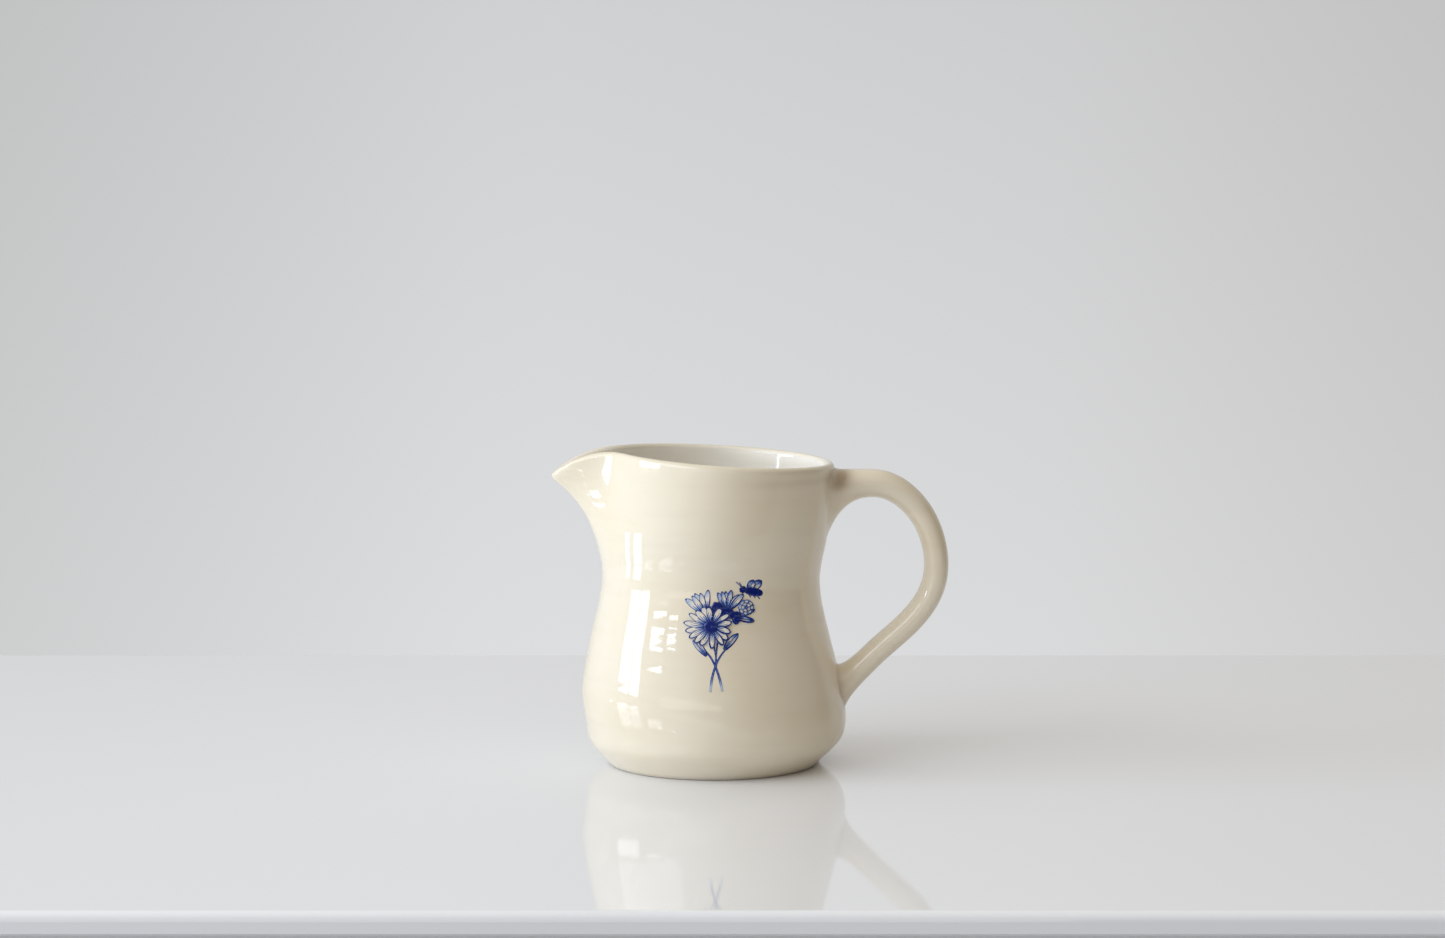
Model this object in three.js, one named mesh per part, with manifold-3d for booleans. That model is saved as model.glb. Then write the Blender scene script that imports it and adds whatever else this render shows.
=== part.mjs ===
// A thrown porcelain cream jug with a pulled spout, a pulled strap handle luted
// on with two coils of clay, and two fired transfers on its front.
//
// Millimetres, +Z up. The origin is the centre of the foot, on the table.
// +X runs to the handle, -X to the spout, and the transfers face -Y.

import * as THREE from 'three';
import { mergeVertices } from 'three/addons/utils/BufferGeometryUtils.js';
import Module from 'manifold-3d';

const wasm = await Module();
wasm.setup();

// ---------------------------------------------------------------- dimensions

// The thrown pot, before its spout is pulled.
const FOOT_RADIUS = 33.6;
const BELLY_RADIUS = 41.8;
const BELLY_HEIGHT = 20.5;
const WAIST_RADIUS = 35.1;
const WAIST_HEIGHT = 61;
const RIM_RADIUS = 39;
const RIM_HEIGHT = 97.5;
const LIP_THICKNESS = 3;
const WALL_THICKNESS = 4;
const FLOOR_THICKNESS = 5;
const FLOOR_CORNER = 12; // the radius inside, from the floor up into the wall
const WAIST_DRIFT = 1.05; // the pot leans this much to the spout above its belly
const WAIST_DRIFT_HEIGHT = 46;
const WAIST_DRIFT_SPREAD = 22;
const FOOT_DRIFT = 0.9; // and this much to the handle just above its foot
const FOOT_DRIFT_HEIGHT = 12;
const FOOT_DRIFT_SPREAD = 5;

// The spout. Angles are measured round the axis from the spout's direction.
const SPOUT_REACH = 52.2;
const SPOUT_DIP = 7.9;
const SPOUT_HALF_ANGLE = THREE.MathUtils.degToRad(12.5);
const SPOUT_ROOT_ANGLE = THREE.MathUtils.degToRad(26);
const DIP_HALF_ANGLE = THREE.MathUtils.degToRad(9);
const THROAT_PINCH = 5.9; // how far the sides of the throat are pressed in at the rim
const PINCH_START = 40; // the height at which the pressing starts
const PINCH_HALF_ANGLE = THREE.MathUtils.degToRad(95);
const RIM_RISE = 4.4; // the rim climbs this much from the handle to the spout
const PULL_POWER = 2.7; // how late the wall turns out into the spout
const SPOUT_THINNING = 0.35; // the share of its thickness that the spout's tip loses

// The handle: an oval strap that thins from its top root to its tail.
const HANDLE_THICKNESS = 9.2;
const HANDLE_WIDTH = 14;
const HANDLE_THIN = 7.9;
const HANDLE_NARROW = 12;

// The transfers, in the plane y = 0 before they are wrapped on the wall.
const DAISY_CENTRE = [-0.6, 49.2];
const DAISY_RADIUS = 8.2;
const STEM_CROSSING = [1, 36.5];
const STEM_FOOT_HEIGHT = 29.6;
const STEM_SPREAD = 2.2;
const STEM_WIDTH = 1.4;
const TRANSFER_THICKNESS = 0.3;

const GAP = 0.3; // clearance between pieces that touch

const SEGMENTS = 60; // round the pot
const OUTER_ROWS = 22; // up its outer wall
const INNER_ROWS = 14; // down its inner wall

// ------------------------------------------------------------------- helpers

// A closed geometry as a solid that can be cut and joined.
function toSolid(geometry) {
  const bare = new THREE.BufferGeometry();
  const flat = geometry.index ? geometry.toNonIndexed() : geometry;
  bare.setAttribute('position', flat.getAttribute('position'));
  const merged = mergeVertices(bare, 1e-4);
  return new wasm.Manifold(new wasm.Mesh({
    numProp: 3,
    vertProperties: merged.attributes.position.array,
    triVerts: new Uint32Array(merged.index.array),
  }));
}

// The largest body of a solid, as a geometry.
function toGeometry(solid) {
  const bodies = solid.decompose();
  const largest = bodies.reduce((a, b) => (b.volume() > a.volume() ? b : a));
  const mesh = largest.getMesh();
  const geometry = new THREE.BufferGeometry();
  const positions = new Float32Array(mesh.vertProperties);
  geometry.setAttribute('position', new THREE.BufferAttribute(positions, 3));
  geometry.setIndex(new THREE.BufferAttribute(mesh.triVerts, 1));
  geometry.computeVertexNormals();
  return geometry;
}

function move(geometry, place) {
  const position = geometry.getAttribute('position');
  const point = new THREE.Vector3();
  for (let i = 0; i < position.count; i++) {
    point.fromBufferAttribute(position, i);
    place(point, i);
    position.setXYZ(i, point.x, point.y, point.z);
  }
  geometry.computeVertexNormals();
  return geometry;
}

const gauss = (x) => Math.exp(-x * x);
const bell = (x) => Math.exp(-(x ** 4));

// ------------------------------------------------------------- the thrown pot

// Radius against height on the outside, foot to rim.
const OUTSIDE = new THREE.SplineCurve([
  new THREE.Vector2(FOOT_RADIUS + 0.4, 0.35),
  new THREE.Vector2(FOOT_RADIUS + 3.6, 3.7),
  new THREE.Vector2(BELLY_RADIUS - 1.2, 8.4),
  new THREE.Vector2(BELLY_RADIUS - 0.1, 13.5),
  new THREE.Vector2(BELLY_RADIUS, BELLY_HEIGHT + 3),
  new THREE.Vector2(BELLY_RADIUS - 1.3, 32.5),
  new THREE.Vector2(WAIST_RADIUS + 2.7, 44.5),
  new THREE.Vector2(WAIST_RADIUS + 0.6, 54),
  new THREE.Vector2(WAIST_RADIUS, WAIST_HEIGHT),
  new THREE.Vector2(WAIST_RADIUS + 1.45, 71),
  new THREE.Vector2(RIM_RADIUS - 0.9, 85),
  new THREE.Vector2(RIM_RADIUS, RIM_HEIGHT - LIP_THICKNESS / 2),
]);

// The outside moved outwards by a distance, or inwards by a negative one.
function offsetOutside(distance, divisions) {
  const points = [];
  for (let i = 0; i <= divisions; i++) {
    const along = i / divisions;
    const tangent = OUTSIDE.getTangentAt(along);
    const point = OUTSIDE.getPointAt(along);
    point.x += tangent.y * distance;
    point.y -= tangent.x * distance;
    points.push(point);
  }
  return points;
}

// How far up its rise a height has come: none at the start, all at the lip.
function shareOfRise(height, start) {
  const lipBase = RIM_HEIGHT - LIP_THICKNESS / 2;
  return THREE.MathUtils.clamp((height - start) / (lipBase - start), 0, 1);
}

// How far the wall moves out, where it is pulled into the spout, and in, where
// it is pressed beside it. bulge and squeeze give the share of each, and a low
// pull gives a wider, softer spout.
function wallShift(angle, pull, bulge, squeeze) {
  const half = THREE.MathUtils.lerp(SPOUT_ROOT_ANGLE, SPOUT_HALF_ANGLE, pull);
  const spout = gauss(angle / half);
  const side = bell(angle / PINCH_HALF_ANGLE) * (1 - spout);
  return (SPOUT_REACH - RIM_RADIUS) * spout * bulge - THROAT_PINCH * side * squeeze;
}

// The rim's outline in plan.
function planOutline(angle, pull) {
  const radius = RIM_RADIUS + wallShift(angle, pull, 1, 1);
  return new THREE.Vector2(-radius * Math.cos(angle), radius * Math.sin(angle));
}

function planNormal(angle, pull) {
  const step = 1e-3;
  const before = planOutline(angle - step, pull);
  const after = planOutline(angle + step, pull);
  const along = after.sub(before).normalize();
  return new THREE.Vector2(-along.y, along.x);
}

function rimLift(angle) {
  return RIM_RISE * Math.cos(angle / 2) ** 2 - SPOUT_DIP * gauss(angle / DIP_HALF_ANGLE);
}

// How far the pot's centre lies off the axis, towards the handle.
function drift(height) {
  const foot = FOOT_DRIFT * gauss((height - FOOT_DRIFT_HEIGHT) / FOOT_DRIFT_SPREAD);
  return foot - WAIST_DRIFT * gauss((height - WAIST_DRIFT_HEIGHT) / WAIST_DRIFT_SPREAD);
}

// Revolves a closed profile and pulls the spout out of it. depths gives, for
// each profile point, how far it lies inside the outer wall.
function throwPot(profile, depths) {
  const crowding = 0.4; // more segments round the spout than round the handle
  const geometry = new THREE.LatheGeometry(profile, SEGMENTS);
  geometry.rotateX(Math.PI / 2);
  return move(geometry, (point, index) => {
    const radius = Math.hypot(point.x, point.y);
    const even = Math.atan2(point.y, -point.x);
    const angle = even - crowding * Math.sin(even);
    const outward = new THREE.Vector2(-Math.cos(angle), Math.sin(angle));
    const thinning = 1 - SPOUT_THINNING * gauss(angle / SPOUT_HALF_ANGLE);
    const depth = depths[index % profile.length];
    const pull = shareOfRise(point.z, WAIST_HEIGHT);
    const bulge = pull ** PULL_POWER;
    const squeeze = shareOfRise(point.z, PINCH_START) ** 2;
    const shifted = radius + wallShift(angle, pull, bulge, squeeze) + depth * bulge;
    const plan = outward.multiplyScalar(shifted);
    plan.addScaledVector(planNormal(angle, pull), -depth * thinning * bulge);
    point.x = plan.x + drift(point.z);
    point.y = plan.y;
    point.z += rimLift(angle) * pull ** 2;
  });
}

function jugBody() {
  const outside = offsetOutside(0, OUTER_ROWS);
  const profile = [new THREE.Vector2(0, 0), new THREE.Vector2(FOOT_RADIUS - 0.4, 0), ...outside];
  const depths = profile.map(() => 0);
  const lip = LIP_THICKNESS / 2;
  const lipSteps = 5;
  for (let i = 1; i < lipSteps; i++) {
    const turn = (Math.PI * i) / lipSteps;
    const depth = lip * (1 - Math.cos(turn));
    profile.push(new THREE.Vector2(RIM_RADIUS - depth, RIM_HEIGHT - lip + lip * Math.sin(turn)));
    depths.push(depth);
  }
  const thickening = 6; // rows from the lip down to the full thickness
  for (const [i, point] of offsetOutside(0, INNER_ROWS).reverse().entries()) {
    if (point.y < FLOOR_CORNER + FLOOR_THICKNESS) break;
    const depth = THREE.MathUtils.lerp(LIP_THICKNESS, WALL_THICKNESS, Math.min(i / thickening, 1));
    profile.push(new THREE.Vector2(point.x - depth, point.y));
    depths.push(depth);
  }
  const wallFoot = profile[profile.length - 1];
  const cornerSteps = 4;
  for (let i = 1; i <= cornerSteps; i++) {
    const turn = (Math.PI / 2) * (i / cornerSteps);
    profile.push(new THREE.Vector2(
      wallFoot.x - FLOOR_CORNER * (1 - Math.cos(turn)),
      FLOOR_THICKNESS + (wallFoot.y - FLOOR_THICKNESS) * (1 - Math.sin(turn)),
    ));
    depths.push(WALL_THICKNESS);
  }
  profile.push(new THREE.Vector2(0, FLOOR_THICKNESS));
  depths.push(WALL_THICKNESS);
  return throwPot(profile, depths);
}

// The pot as a solid block, grown by a distance: what a neighbour is cut by.
function potBlock(distance) {
  const outside = offsetOutside(distance, OUTER_ROWS);
  const bottom = new THREE.Vector2(FOOT_RADIUS, -5);
  const top = new THREE.Vector2(RIM_RADIUS + distance, RIM_HEIGHT + 1);
  const profile = [new THREE.Vector2(0, bottom.y), bottom, ...outside, top];
  profile.push(new THREE.Vector2(0, top.y));
  return throwPot(profile, profile.map(() => -distance));
}

// ------------------------------------------------------------------ the handle

// The handle's centre line, from inside the wall at the top to the tail that is
// smeared down the belly.
const HANDLE_LINE = new THREE.CatmullRomCurve3([
  [32, 88.6], [44, 90], [54.3, 90.3], [64.2, 84.3], [70.9, 72], [71.2, 58.2], [64.4, 46.7],
  [52.4, 35.6], [45.6, 28], [41.2, 20.5], [40.1, 11],
].map(([x, z]) => new THREE.Vector3(x, 0, z)));

// A closed strap: a capped cylinder bent along a curve in the XZ plane.
// section(along) gives how far it reaches outwards and inwards from the curve,
// in the plane, and its half width across the plane.
function strap(curve, section, rounds, lengths, grow = 0) {
  const geometry = new THREE.CylinderGeometry(1, 1, 1, rounds, lengths);
  return move(geometry, (point) => {
    const along = 0.5 - point.y;
    const centre = curve.getPointAt(along);
    const tangent = curve.getTangentAt(along);
    const { outer, inner, wide } = section(along);
    const inPlane = point.x * ((point.x > 0 ? outer : inner) + grow);
    const across = -point.z * (wide + grow);
    point.set(centre.x - tangent.z * inPlane, across, centre.z + tangent.x * inPlane);
  });
}

function handleSection(along) {
  const middle = THREE.MathUtils.smoothstep(along, 0.1, 0.42);
  const tail = THREE.MathUtils.smoothstep(along, 0.78, 1);
  const thick = THREE.MathUtils.lerp(HANDLE_THICKNESS, HANDLE_THIN, middle) / 2;
  const wide = THREE.MathUtils.lerp(HANDLE_WIDTH, HANDLE_NARROW, middle) / 2;
  const slim = thick * (1 - 0.45 * tail);
  return { outer: slim, inner: slim, wide: wide * (1 + 0.12 * tail) };
}

const handleStrap = (grow) => toSolid(strap(HANDLE_LINE, handleSection, 16, 40, grow));

// -------------------------------------------------------------- the join coils

// The clay that fills the corner under the handle's top root, as a fan of
// upright ovals from the wall outwards.
const UPPER_LINE = new THREE.LineCurve3(new THREE.Vector3(33, 0, 0), new THREE.Vector3(50, 0, 0));

function upperCoil() {
  const hollowReach = 14.1; // the hollow under the root, along the handle
  const hollowHeight = 16.5;
  const hollowEnd = 51;
  const hollowFoot = 69.5;
  const hollowPower = 1.7;
  const handleTop = 94.8;
  const wallX = 38.5;
  const topFillet = 2.2; // the small hollow on top, below the rim
  const geometry = new THREE.CylinderGeometry(1, 1, 1, 20, 12);
  return move(geometry, (point) => {
    const x = UPPER_LINE.getPointAt(0.5 - point.y).x;
    const inward = Math.min((hollowEnd - x) / hollowReach, 1);
    const bottom = hollowFoot + hollowHeight * (1 - inward ** hollowPower) ** (1 / hollowPower);
    const top = handleTop + topFillet * gauss((x - wallX) / topFillet);
    const wide = HANDLE_WIDTH / 2 + 0.4 + 3.5 * gauss((x - 36) / 5);
    const half = (top - bottom) / 2;
    point.set(x, -point.z * wide, bottom + half + point.x * half);
  });
}

// The web between the wall and the inside of the lower root, and the smoothed
// edges beside it.
function lowerSection(along) {
  const flare = THREE.MathUtils.smoothstep(along, 0, 1);
  return { outer: HANDLE_THIN / 2 - 1, inner: HANDLE_THIN / 2 + 3 * flare, wide: 6.6 + 3 * flare };
}

const LOWER_LINE = new THREE.CatmullRomCurve3([
  [49.5, 32.6], [46, 28.6], [42.5, 24], [38, 17.5],
].map(([x, z]) => new THREE.Vector3(x, 0, z)));

// --------------------------------------------------------------- the transfers

// A wrapped skin: a flat outline pushed back through the front wall, and kept
// only where it lies between two grown copies of the pot.
function transfer(outlines) {
  const reach = 60;
  const prisms = outlines.map((outline) => {
    const geometry = new THREE.ExtrudeGeometry(outline, { depth: reach, bevelEnabled: false, curveSegments: 5 });
    return toSolid(geometry.rotateX(Math.PI / 2));
  });
  const skin = toSolid(potBlock(GAP + TRANSFER_THICKNESS)).subtract(toSolid(potBlock(GAP)));
  return prisms.reduce((a, b) => a.add(b)).intersect(skin);
}

function disc([x, z], radius) {
  return new THREE.Shape().absarc(x, z, radius, 0, 2 * Math.PI);
}

function leaf([x, z], length, width, turn) {
  return new THREE.Shape().absellipse(x, z, length / 2, width / 2, 0, 2 * Math.PI, false, turn);
}

function band(from, to, width) {
  const across = new THREE.Vector2(to[1] - from[1], from[0] - to[0]).setLength(width / 2);
  return new THREE.Shape([
    new THREE.Vector2(from[0] - across.x, from[1] - across.y),
    new THREE.Vector2(from[0] + across.x, from[1] + across.y),
    new THREE.Vector2(to[0] + across.x, to[1] + across.y),
    new THREE.Vector2(to[0] - across.x, to[1] - across.y),
  ]);
}

function bouquetOutlines() {
  const [daisyX, daisyZ] = DAISY_CENTRE;
  const [crossX, crossZ] = STEM_CROSSING;
  return [
    disc(DAISY_CENTRE, DAISY_RADIUS),
    disc([daisyX - 3, daisyZ + 6], 4.6),
    disc([daisyX + 4.6, daisyZ + 5.8], 5),
    disc([daisyX + 9.4, daisyZ + 3], 5),
    band([crossX - STEM_SPREAD, STEM_FOOT_HEIGHT], [daisyX + 5, daisyZ - 3], STEM_WIDTH),
    band([crossX + STEM_SPREAD, STEM_FOOT_HEIGHT], [daisyX - 3, daisyZ - 3], STEM_WIDTH),
    leaf([crossX - 3.6, crossZ + 5], 6.4, 2.8, -1),
    leaf([crossX + 3.6, crossZ + 6], 6.4, 2.8, 1),
  ];
}

function beeOutlines() {
  return [
    leaf([12.3, 60], 7.4, 3, 0.35),
    leaf([13.2, 61], 3, 4.6, -0.3),
  ];
}

// -------------------------------------------------------------------- assembly

const CREAM = new THREE.Color(0xece4d4);
const COBALT = new THREE.Color(0x1d3f96);

const glaze = () => new THREE.MeshStandardMaterial({ color: CREAM, roughness: 0.12, metalness: 0 });
const ink = () => new THREE.MeshStandardMaterial({ color: COBALT, roughness: 0.15, metalness: 0 });

function named(name, geometry, material) {
  const mesh = new THREE.Mesh(geometry, material);
  mesh.name = name;
  return mesh;
}

const pot = toSolid(potBlock(GAP));
const handle = handleStrap(0).subtract(pot);
const handleRoom = handleStrap(GAP);
const upper = toSolid(upperCoil()).subtract(pot).subtract(handleRoom);
const lower = toSolid(strap(LOWER_LINE, lowerSection, 20, 12)).subtract(pot).subtract(handleRoom);

const jug = new THREE.Group();
jug.add(named('jug_body', jugBody(), glaze()));
jug.add(named('handle', toGeometry(handle), glaze()));
jug.add(named('upper_join_coil', toGeometry(upper), glaze()));
jug.add(named('lower_join_coil', toGeometry(lower), glaze()));
jug.add(named('bouquet_transfer', toGeometry(transfer(bouquetOutlines())), ink()));
jug.add(named('bee_transfer', toGeometry(transfer(beeOutlines())), ink()));

export default jug;
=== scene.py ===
"""A thrown porcelain cream jug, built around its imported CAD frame.

+Z is up and the origin is the centre of the foot. +X runs to the handle, -X to
the spout, and the transfers face -Y. Shapes are worked out in millimetres.
"""

import math

import bpy
import numpy as np
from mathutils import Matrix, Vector


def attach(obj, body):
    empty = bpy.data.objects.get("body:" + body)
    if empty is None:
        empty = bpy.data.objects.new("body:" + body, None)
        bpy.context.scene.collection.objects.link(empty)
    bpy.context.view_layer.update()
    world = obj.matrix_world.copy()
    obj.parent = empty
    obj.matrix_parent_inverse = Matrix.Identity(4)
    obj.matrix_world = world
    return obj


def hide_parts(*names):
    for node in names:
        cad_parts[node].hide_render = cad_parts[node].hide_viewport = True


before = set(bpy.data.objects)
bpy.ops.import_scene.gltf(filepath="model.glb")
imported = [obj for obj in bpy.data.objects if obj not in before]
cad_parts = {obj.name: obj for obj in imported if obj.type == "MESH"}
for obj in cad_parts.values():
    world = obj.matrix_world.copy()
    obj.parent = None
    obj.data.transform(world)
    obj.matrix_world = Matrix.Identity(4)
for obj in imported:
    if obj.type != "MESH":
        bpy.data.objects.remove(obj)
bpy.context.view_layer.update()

MM = 0.001
rng = np.random.default_rng(7)

# ---------------------------------------------------------------- dimensions

FOOT_RADIUS = 33.6
BELLY_RADIUS = 42.15
WAIST_RADIUS = 35.1
WAIST_HEIGHT = 61
RIM_RADIUS = 39
RIM_HEIGHT = 97.5
LIP_THICKNESS = 3
LIP_BASE = RIM_HEIGHT - LIP_THICKNESS / 2
WALL_THICKNESS = 4
FLOOR_THICKNESS = 5
FLOOR_CORNER = 12
SPOUT_REACH = 52.2
SPOUT_DIP = 7.9
SPOUT_HALF_ANGLE = math.radians(12.5)
SPOUT_ROOT_ANGLE = math.radians(24.5)
DIP_HALF_ANGLE = math.radians(9)
THROAT_PINCH = 5.5
PINCH_START = 40
PINCH_HALF_ANGLE = math.radians(95)
RIM_RISE = 4.4
PULL_POWER = 2.7
SPOUT_THINNING = 0.35
HANDLE_THICKNESS = 9.2
HANDLE_WIDTH = 14
HANDLE_THIN = 7.9
HANDLE_NARROW = 12

COLUMNS = 200  # vertices round the pot
OUTER_ROWS = 116
LIP_ROWS = 11
INNER_ROWS = 90
THICKENING_ROWS = 30  # inner rows over which the lip thickens into the wall
FLOOR_ROWS = 9
CORNER_ROWS = 15
RING = 48  # vertices round the handle
STRAP_ROWS = 150
ROOT_ROWS = 26
PROFILE_STEPS = 1500
LIP_STEPS = 80


# ------------------------------------------------------------------- helpers


def gauss(x):
    return np.exp(-np.square(x))


def smoothstep(x, low, high):
    t = np.clip((x - low) / (high - low), 0, 1)
    return t * t * (3 - 2 * t)


def lerp(a, b, t):
    return a + (b - a) * t


def unit(rows):
    return rows / np.linalg.norm(rows, axis=1, keepdims=True)


class Spline:
    """A curve through points whose curvature has no jumps, run by its length."""

    def __init__(self, points):
        self.points = np.array(points, float)
        self.steps = np.linalg.norm(np.diff(self.points, axis=0), axis=1)
        self.knots = np.concatenate([[0], np.cumsum(self.steps)])
        self.length = self.knots[-1]
        count = len(self.points)
        matrix = np.eye(count)
        right = np.zeros_like(self.points)
        for i in range(1, count - 1):
            before, after = self.steps[i - 1], self.steps[i]
            matrix[i, i - 1 : i + 2] = before, 2 * (before + after), after
            leaving = (self.points[i + 1] - self.points[i]) / after
            arriving = (self.points[i] - self.points[i - 1]) / before
            right[i] = 6 * (leaving - arriving)
        self.bends = np.linalg.solve(matrix, right)

    def place(self, run):
        run = np.atleast_1d(run)
        i = np.clip(np.searchsorted(self.knots, run) - 1, 0, len(self.steps) - 1)
        step = self.steps[i][:, None]
        b = (run - self.knots[i])[:, None] / step
        return i, step, 1 - b, b

    def at(self, run):
        i, step, a, b = self.place(run)
        line = a * self.points[i] + b * self.points[i + 1]
        bend = (a**3 - a) * self.bends[i] + (b**3 - b) * self.bends[i + 1]
        return line + bend * step**2 / 6

    def tangent(self, run):
        i, step, a, b = self.place(run)
        line = (self.points[i + 1] - self.points[i]) / step
        bend = (3 * b**2 - 1) * self.bends[i + 1] - (3 * a**2 - 1) * self.bends[i]
        return unit(line + bend * step / 6)


def grid_faces(rows, columns, closed, start=0):
    """Quads between neighbouring rows of a grid, wrapped round if it is closed."""
    faces = []
    for i in range(rows - 1):
        for j in range(columns if closed else columns - 1):
            k = (j + 1) % columns
            a = start + i * columns
            faces.append((a + j, a + k, a + columns + k, a + columns + j))
    return faces


def grid_normals(grid):
    """Smooth normals of a grid of points whose columns are wrapped round."""
    down = np.gradient(grid, axis=0)
    across = np.roll(grid, -1, axis=1) - np.roll(grid, 1, axis=1)
    normals = np.cross(across, down)
    return normals / np.maximum(np.linalg.norm(normals, axis=2, keepdims=True), 1e-12)


def make_object(name, points, faces, values=None):
    """A smooth mesh object from points in millimetres, with named point values."""
    mesh = bpy.data.meshes.new(name)
    mesh.from_pydata((np.asarray(points) * MM).tolist(), [], faces)
    mesh.update()
    mesh.shade_smooth()
    for key, numbers in (values or {}).items():
        attribute = mesh.attributes.new(key, "FLOAT", "POINT")
        attribute.data.foreach_set("value", np.asarray(numbers, np.float32).ravel())
    made = bpy.data.objects.new(name, mesh)
    bpy.context.scene.collection.objects.link(made)
    return made


# ---------------------------------------------------------------- the thrown pot

OUTSIDE = Spline([
    (FOOT_RADIUS + 0.4, 0.35),
    (FOOT_RADIUS + 3.6, 3.7),
    (BELLY_RADIUS - 1.2, 8.4),
    (BELLY_RADIUS - 0.1, 13.5),
    (BELLY_RADIUS, 23.5),
    (BELLY_RADIUS - 1.6, 32.5),
    (WAIST_RADIUS + 2.7, 44.5),
    (WAIST_RADIUS + 0.6, 54),
    (WAIST_RADIUS, WAIST_HEIGHT),
    (WAIST_RADIUS + 1.45, 71),
    (RIM_RADIUS - 0.9, 85),
    (RIM_RADIUS, LIP_BASE),
])


def lip_arc(steps):
    """Depth and height round the lip, from its outer base to its inner base."""
    turn = np.linspace(0, math.pi, steps + 2)[1:-1]
    half = LIP_THICKNESS / 2
    depth = half * (1 - np.cos(turn))
    return depth, LIP_BASE + half * np.sin(turn)


def outer_profile():
    """Radius and height up the outer wall and over the outer half of the lip."""
    wall = OUTSIDE.at(np.linspace(0, OUTSIDE.length, PROFILE_STEPS))
    depth, height = lip_arc(LIP_STEPS)
    lip = np.stack([RIM_RADIUS - depth, height], 1)
    return np.concatenate([wall, lip[: LIP_STEPS // 2]])


PROFILE = outer_profile()


def throwing_rings(height, angle):
    """The finger ridges that throwing leaves, as a change of radius."""
    climb = height + 1.4 * angle / math.pi
    ridges = 0.024 * np.sin(climb * 0.83 + 1.1 * np.sin(height * 0.11))
    ridges = ridges + 0.01 * np.sin(climb * 1.9 + 2 * np.sin(height * 0.07 + 1))
    sway = 0.1 * np.sin(2 * angle + height * 0.03) + 0.05 * np.sin(3 * angle - height * 0.05)
    fade = smoothstep(height, 1, 9) * (1 - smoothstep(height, 86, 96))
    return (ridges + sway) * fade


def drift(height):
    """How far off centre the pot is: to the handle low down, to the spout above."""
    return gauss((height - 13) / 7) - 1.05 * gauss((height - 46) / 22)


def share_of_rise(height, start):
    """0 up to the start height, and 1 from the base of the lip."""
    return np.clip((height - start) / (LIP_BASE - start), 0, 1)


def wall_shift(angle, pull, bulge, squeeze):
    """How far the wall is pulled out into the spout, or pressed in beside it."""
    spout = gauss(angle / lerp(SPOUT_ROOT_ANGLE, SPOUT_HALF_ANGLE, pull))
    side = np.exp(-((angle / PINCH_HALF_ANGLE) ** 4)) * (1 - spout)
    return (SPOUT_REACH - RIM_RADIUS) * spout * bulge - THROAT_PINCH * side * squeeze


def plan_outline(angle, pull):
    """The rim's outline seen from above, for how far the spout has been pulled."""
    radius = RIM_RADIUS + wall_shift(angle, pull, 1, 1)
    return np.stack([-radius * np.cos(angle), radius * np.sin(angle)], -1)


def rim_lift(angle):
    """The rim rises towards the spout's side and dips at its tip."""
    return RIM_RISE * np.cos(angle / 2) ** 2 - SPOUT_DIP * gauss(angle / DIP_HALF_ANGLE)


def throw(radius, height, depth, angle):
    """Points of the pot, once its spout has been pulled out of a round wall."""
    radius, height, depth, angle = np.broadcast_arrays(radius, height, depth, angle)
    share = (height - WAIST_HEIGHT) / (LIP_BASE - WAIST_HEIGHT)
    soft = 0.05
    mix = np.clip(0.5 + 0.5 * (1 - share) / soft, 0, 1)
    pull = np.clip(lerp(1, share, mix) - soft * mix * (1 - mix), 0, 1)
    step = 1e-3
    along = plan_outline(angle + step, pull) - plan_outline(angle - step, pull)
    along = along / np.linalg.norm(along, axis=-1, keepdims=True)
    normal = np.stack([-along[..., 1], along[..., 0]], -1)
    outward = np.stack([-np.cos(angle), np.sin(angle)], -1)
    thin = depth * (1 - SPOUT_THINNING * gauss(angle / SPOUT_HALF_ANGLE))
    bulge = pull**PULL_POWER
    squeeze = share_of_rise(height, PINCH_START) ** 2
    shifted = radius + wall_shift(angle, pull, bulge, squeeze) + depth * bulge
    plan = outward * shifted[..., None] - normal * (thin * bulge)[..., None]
    x = plan[..., 0] + drift(height)
    z = height + rim_lift(angle) * pull**2
    return np.stack([x, plan[..., 1], z], -1)


def pot_angles():
    """Angles round the pot from the spout, closer together towards it."""
    even = np.linspace(-math.pi, math.pi, COLUMNS, endpoint=False)
    return even - 0.4 * np.sin(even)


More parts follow.
